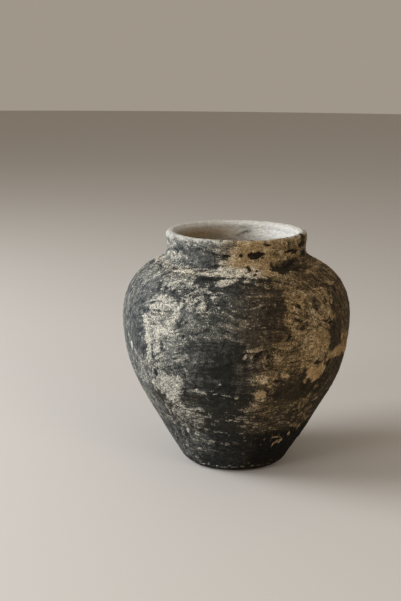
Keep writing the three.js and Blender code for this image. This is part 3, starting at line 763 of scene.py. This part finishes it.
def build(name, k):
    """The closed mesh of course k, from the shared surface."""
    last = len(COURSES) - 1
    row = lambda s: int(np.argmin(np.abs(S - s)))  # noqa: E731
    out_lo = 0 if k == 0 else row(joint_out[k - 1])
    out_hi = row(joint_out[k]) if k < last else None
    in_hi = row(joint_in[k]) if k < last else None
    in_lo = NS - 1 if k == 0 else row(joint_in[k - 1])
    spans = [(out_lo, in_lo)] if k == last else [(out_lo, out_hi), (in_hi, in_lo)]
    pts, rings, data, sharp = [], [], [], []
    count = 0

    def put(points, values):
        nonlocal count
        ids = np.arange(count, count + len(points))
        count += len(points)
        pts.append(points)
        data.append(values)
        return ids

    def values_of(i, c):
        return np.concatenate([
            base[i, c], coatc[i, c], cover[i, c][:, None], specks[i, c][:, None], holes[i, c][:, None], haze_here[i, c][:, None],
            gritty[i, c][:, None],
        ], 1)

    def face_rings(i_from, i_to, side_sign):
        """The joint face between two edges: a ring part-way over, drawn 0.15 mm back from the joint."""
        c = np.arange(0, NT, 2)
        made = []
        for f in (0.34, 0.68):
            p = ALL[i_from, c] * (1 - f) + ALL[i_to, c] * f
            along = np.stack([TR[i_from] / tn[i_from] * sinT[c], -TR[i_from] / tn[i_from] * cosT[c], np.full(len(c), TZ[i_from] / tn[i_from])], 1)
            p = p + along * side_sign * 0.15 * MM
            v = values_of(i_from, c).copy()
            v[:, 6] = -2.0
            v[:, 7:9] = 0
            made.append(put(p, v))
        return made

    for lo, hi in spans:
        mine = []
        for i in range(lo, hi + 1):
            if R[i] < 1e-6:
                mine.append(put(ALL[i, :1], values_of(i, np.array([0]))))
            else:
                c = ring(i)
                mine.append(put(ALL[i, c], values_of(i, c)))
        if rings:
            rings += face_rings(out_hi, in_hi, -1)
        sharp += [mine[0], mine[-1]]
        rings += mine
    closed = k > 0
    if closed:
        rings += list(reversed(face_rings(out_lo, in_lo, 1)))
    faces = []
    for a, b in zip(rings[:-1], rings[1:], strict=True):
        connect(a, b, faces)
    if closed:
        connect(rings[-1], rings[0], faces)
    verts, values = np.concatenate(pts), np.concatenate(data)
    quads = np.concatenate([f for f in faces if f.shape[1] == 4])
    tris = [f for f in faces if f.shape[1] == 3]
    tris = np.concatenate(tris) if tris else np.zeros((0, 3), int)
    loops = np.concatenate([quads.ravel(), tris.ravel()]).astype(np.int32)
    totals = np.concatenate([np.full(len(quads), 4), np.full(len(tris), 3)]).astype(np.int32)
    starts = np.concatenate([[0], np.cumsum(totals)[:-1]]).astype(np.int32)
    me = bpy.data.meshes.new(name)
    me.vertices.add(len(verts))
    me.vertices.foreach_set("co", verts.astype(F).ravel())
    me.loops.add(len(loops))
    me.loops.foreach_set("vertex_index", loops)
    me.polygons.add(len(totals))
    me.polygons.foreach_set("loop_start", starts)
    me.polygons.foreach_set("loop_total", totals)
    me.update(calc_edges=True)
    me.polygons.foreach_set("use_smooth", np.ones(len(totals), bool))
    # a crisp edge where the wall meets each joint face
    corner = np.zeros(len(verts), bool)
    for ids in sharp:
        if len(ids) > 1:
            corner[ids] = True
    ev = np.zeros(len(me.edges) * 2, np.int32)
    me.edges.foreach_get("vertices", ev)
    ev = ev.reshape(-1, 2)
    is_sharp = corner[ev[:, 0]] & corner[ev[:, 1]] & (np.abs(verts[ev[:, 0], 2] - verts[ev[:, 1], 2]) < 0.002)
    a = me.attributes.new("sharp_edge", "BOOLEAN", "EDGE")
    a.data.foreach_set("value", is_sharp)
    for key, cols_ in (("clay_colour", slice(0, 3)), ("coat_colour", slice(3, 6))):
        a = me.attributes.new(key, "FLOAT_COLOR", "POINT")
        rgba = np.concatenate([values[:, cols_], np.ones((len(values), 1))], 1)
        a.data.foreach_set("color", rgba.astype(F).ravel())
    for key, col in (("cover", 6), ("specks", 7), ("holes", 8), ("film", 9), ("gritty", 10)):
        a = me.attributes.new(key, "FLOAT", "POINT")
        a.data.foreach_set("value", values[:, col].astype(F))
    me.validate()
    ob = bpy.data.objects.new(name, me)
    bpy.context.scene.collection.objects.link(ob)
    return ob


# ------------------------------------------------------------------------------------ material


def clay_material(name, rough_clay, rough_coat, grit):
    m = bpy.data.materials.new(name)
    m.use_nodes = True
    nt = m.node_tree
    nt.nodes.clear()
    new, link = nt.nodes.new, nt.links.new

    def attr(key, out="Fac"):
        n = new("ShaderNodeAttribute")
        n.attribute_type = "GEOMETRY"
        n.attribute_name = key
        return n.outputs[out]

    def math_(op, a, b=None, c=None, clamp=False):
        n = new("ShaderNodeMath")
        n.operation = op
        n.use_clamp = clamp
        for i, v in enumerate((a, b, c)):
            if v is None:
                continue
            if isinstance(v, (int, float)):
                n.inputs[i].default_value = v
            else:
                link(v, n.inputs[i])
        return n.outputs[0]

    def ramp(v, a, b, lo=0.0, hi=1.0):
        n = new("ShaderNodeMapRange")
        n.interpolation_type = "SMOOTHSTEP"
        n.inputs["From Min"].default_value, n.inputs["From Max"].default_value = a, b
        n.inputs["To Min"].default_value, n.inputs["To Max"].default_value = lo, hi
        link(v, n.inputs["Value"])
        return n.outputs["Result"]

    def mixc(f, a, b, blend="MIX"):
        n = new("ShaderNodeMix")
        n.data_type = "RGBA"
        n.blend_type = blend
        for s, v in ((n.inputs[0], f), (n.inputs[6], a), (n.inputs[7], b)):
            if isinstance(v, (int, float)):
                s.default_value = v
            elif isinstance(v, tuple):
                s.default_value = (*v, 1)
            else:
                link(v, s)
        return n.outputs[2]

    where = new("ShaderNodeTexCoord").outputs["Object"]

    def noise_(scale, detail, rough, stretch=(1, 1, 1), distort=0.0):
        mp = new("ShaderNodeMapping")
        mp.inputs["Scale"].default_value = stretch
        link(where, mp.inputs["Vector"])
        n = new("ShaderNodeTexNoise")
        n.inputs["Scale"].default_value = scale
        n.inputs["Detail"].default_value = detail
        n.inputs["Roughness"].default_value = rough
        n.inputs["Distortion"].default_value = distort
        link(mp.outputs[0], n.inputs["Vector"])
        return n.outputs["Fac"]

    fine = noise_(310, 4, 0.62, (1, 1, 1.4))
    finer = noise_(820, 3, 0.6)
    sand = noise_(2400, 2, 0.6)
    crumbs = noise_(430, 3, 0.6, (1, 1, 1.2))
    pits = noise_(400, 3, 0.6, (1, 1, 1.5))
    clay_c, coat_c = attr("clay_colour", "Color"), attr("coat_colour", "Color")
    cover_ = attr("cover")
    specks_, holes_, film_ = attr("specks"), attr("holes"), attr("film")

    # where the coat is: the painted cover broken up by fine noise. It thins to a stain before it ends.
    breakup = math_("MULTIPLY_ADD", math_("SUBTRACT", fine, 0.5), 4.4, math_("MULTIPLY", math_("SUBTRACT", finer, 0.5), 5.4))
    t = math_("MULTIPLY_ADD", breakup, attr("gritty"), cover_)
    thick = ramp(t, 0.0, 0.14)
    thin = ramp(math_("MULTIPLY_ADD", math_("SUBTRACT", finer, 0.5), 2.6, cover_), -1.05, 0.45)
    coat_edge_painted_shadow = ramp(t, -0.75, -0.05, 1.0, 0.52)          # painted shadow: the clay is darkest close under the coat's broken edge, where the raised coat would shade it
    # crumbs of coat on bare clay, and pits knocked through the coat
    crumb = ramp(math_("MULTIPLY_ADD", specks_, 0.20, crumbs), 0.735, 0.77)
    pit = ramp(math_("MULTIPLY_ADD", holes_, 0.15, pits), 0.735, 0.78)
    thick = math_("MAXIMUM", thick, math_("MULTIPLY", crumb, 0.85))
    thick = math_("MULTIPLY", thick, math_("SUBTRACT", 1.0, math_("MULTIPLY", pit, 0.9)))

    # bare clay with pale dust held in its grain
    dust = ramp(math_("ADD", math_("MULTIPLY", finer, 0.55), math_("MULTIPLY", fine, 0.45)), 0.43, 0.60)
    dust = math_("MULTIPLY", dust, math_("MULTIPLY_ADD", film_, 1.0, 0.02), clamp=True)
    bare = mixc(math_("MAXIMUM", math_("MULTIPLY", dust, 0.6), math_("MULTIPLY", thin, 0.40)), clay_c, coat_c)
    # the painted shadow under the coat's edge darkens the bare clay
    coat_edge_painted_shadow_n = new("ShaderNodeCombineColor")
    for i in range(3):
        link(coat_edge_painted_shadow, coat_edge_painted_shadow_n.inputs[i])
    bare = mixc(1.0, bare, coat_edge_painted_shadow_n.outputs[0], "MULTIPLY")
    tone = ramp(math_("MULTIPLY_ADD", finer, 0.7, math_("MULTIPLY", sand, 0.3)), 0.40, 0.60, 0.70, 1.26)
    even = math_("MINIMUM", attr("gritty"), 1.0)    # the washed lip and the inside are smoother
    tone = math_("MULTIPLY_ADD", math_("SUBTRACT", tone, 1.0), even, 1.0)
    tone_n = new("ShaderNodeCombineColor")
    for i in range(3):
        link(tone, tone_n.inputs[i])
    # the coat: stained where it is thin, paler where it is thick, with dark dirt in its pits
    body = ramp(t, 0.1, 1.6)
    full = mixc(math_("MULTIPLY_ADD", body, 0.45, 0.55), clay_c, coat_c)
    dirt = ramp(math_("MULTIPLY_ADD", pits, 0.5, math_("MULTIPLY", finer, 0.5)), 0.38, 0.53, 0.36, 1.10)
    dirt = math_("MULTIPLY_ADD", math_("SUBTRACT", dirt, 1.0), even, 1.0)
    dirt_n = new("ShaderNodeCombineColor")
    for i in range(3):
        link(dirt, dirt_n.inputs[i])
    full = mixc(1.0, full, dirt_n.outputs[0], "MULTIPLY")
    colour = mixc(1.0, mixc(thick, bare, full), tone_n.outputs[0], "MULTIPLY")
    on = thick

    bsdf = new("ShaderNodeBsdfPrincipled")
    link(colour, bsdf.inputs["Base Color"])
    rough = math_("MULTIPLY_ADD", on, rough_coat - rough_clay, rough_clay)
    rough = math_("MULTIPLY_ADD", math_("SUBTRACT", fine, 0.5), 0.16, rough, clamp=True)
    link(rough, bsdf.inputs["Roughness"])
    bsdf.inputs["Specular IOR Level"].default_value = 0.1
    bsdf.inputs["IOR"].default_value = 1.46

    # relief too fine for the mesh: the coat's broken edge, sand grain and pits
    h = math_("MULTIPLY_ADD", on, 0.30, math_("MULTIPLY", finer, 0.75 * grit))
    h = math_("MULTIPLY_ADD", sand, 0.22 * grit, h)
    h = math_("MULTIPLY_ADD", fine, 1.0 * grit, h)
    bump = new("ShaderNodeBump")
    bump.inputs["Strength"].default_value = 1.0
    bump.inputs["Distance"].default_value = 0.0017
    link(h, bump.inputs["Height"])
    link(bump.outputs[0], bsdf.inputs["Normal"])
    out = new("ShaderNodeOutputMaterial")
    link(bsdf.outputs[0], out.inputs["Surface"])
    return m


SLOT = {s["node"]: s["material_slot"] for s in frame["record"]["subparts"]}
FINISH = {
    "fired_clay_base": (0.66, 0.88, 1.0),
    "fired_clay_lower": (0.66, 0.90, 1.0),
    "fired_clay_body": (0.68, 0.90, 1.0),
    "fired_clay_neck": (0.70, 0.92, 1.1),
    "fired_clay_lip": (0.72, 0.90, 1.0),
}
finish = {s: clay_material(s, *v) for s, v in FINISH.items()}
for k, node in enumerate(COURSES):
    piece = build("pot_" + node, k)
    piece.data.materials.append(finish[SLOT[node]])
    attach(piece, "root")
    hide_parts(node)

# ------------------------------------------------------------------------------------ stage, lights and camera


def plain(name, colour, rough):
    m = bpy.data.materials.new(name)
    m.use_nodes = True
    nt = m.node_tree
    b = nt.nodes["Principled BSDF"]
    b.inputs["Base Color"].default_value = (*colour, 1)
    b.inputs["Roughness"].default_value = rough
    b.inputs["Specular IOR Level"].default_value = 0.25
    return m


floor_me = bpy.data.meshes.new("floor")
n = 96
ang = np.linspace(0, 2 * np.pi, n, endpoint=False)
floor_me.from_pydata([(9 * math.cos(a), 9 * math.sin(a), 0) for a in ang], [], [list(range(n))])
floor = bpy.data.objects.new("floor", floor_me)
floor.data.materials.append(plain("stage_floor", (0.55, 0.522, 0.492), 0.75))
bpy.context.scene.collection.objects.link(floor)
floor.location.z = -0.0002


def area(name, at, to, size, watts, colour):
    d = bpy.data.lights.new(name, "AREA")
    d.shape = "RECTANGLE"
    d.size, d.size_y = size
    d.energy = watts
    d.color = colour
    o = bpy.data.objects.new(name, d)
    o.location = at
    o.rotation_euler = (Vector(to) - Vector(at)).to_track_quat("-Z", "Y").to_euler()
    bpy.context.scene.collection.objects.link(o)
    return o


mid = (0, 0, 0.15)
area("window_light", (-2.3, -0.05, 1.3), mid, (1.5, 1.5), 86, (0.92, 0.96, 1.0))
area("front_fill", (-1.5, -1.9, 1.5), mid, (1.0, 1.0), 17, (0.98, 0.98, 1.0))
area("warm_fill", (1.7, -2.2, 1.2), mid, (1.4, 1.2), 17, (1.0, 0.88, 0.72))

world = bpy.data.worlds.new("studio")
bpy.context.scene.world = world
world.use_nodes = True
wb = world.node_tree.nodes["Background"]
wb.inputs["Color"].default_value = (0.64, 0.562, 0.468, 1)
wb.inputs["Strength"].default_value = 0.55
bpy.context.scene.view_settings.view_transform = "Standard"

cam_data = bpy.data.cameras.new("camera")
cam_data.sensor_fit = "AUTO"
cam_data.sensor_width = 36.0
cam_data.lens = 36.0 * 1100.4 / 601.0
cam_data.shift_x = -(236.5 - 200.5) / 601.0
cam_data.dof.use_dof = False
cam = bpy.data.objects.new("camera", cam_data)
bpy.context.scene.collection.objects.link(cam)
pitch, roll = 12.484 * RAD, 0.634 * RAD
look = Vector((0, math.cos(pitch), -math.sin(pitch)))
cam.location = (0, -1.334, 0.4966)
cam.rotation_euler = (look.to_track_quat("-Z", "Y").to_matrix() @ Matrix.Rotation(roll, 3, "Z")).to_euler()
bpy.context.scene.camera = cam
